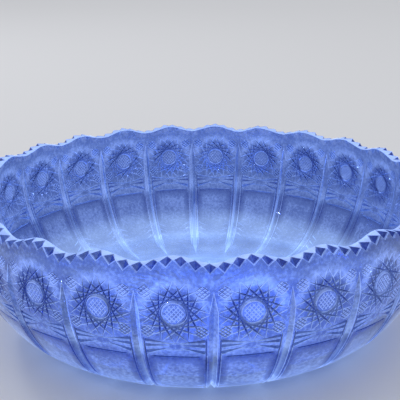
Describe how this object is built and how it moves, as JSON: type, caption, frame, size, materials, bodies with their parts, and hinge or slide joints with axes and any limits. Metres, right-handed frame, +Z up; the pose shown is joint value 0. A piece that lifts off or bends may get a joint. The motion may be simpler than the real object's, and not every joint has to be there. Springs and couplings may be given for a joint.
{
  "type": "cut glass bowl",
  "caption": "Shallow round bowl of thick hand-cut glass, with a scalloped and notched rim, a ring of hobstars, upright mitre cuts and a flat resting ring.",
  "frame": {"origin": "on the bowl's axis, in the plane of the resting ring", "axes": "+Z up along the bowl's axis; -Y is the front, and a hobstar faces each of -Y, +Y, -X and +X"},
  "size_m": [0.2834, 0.2834, 0.09],
  "materials": {
    "glass": "polished"
  },
  "bodies": {
    "root": {"glass_bowl": "glass"}
  },
  "joints": []
}
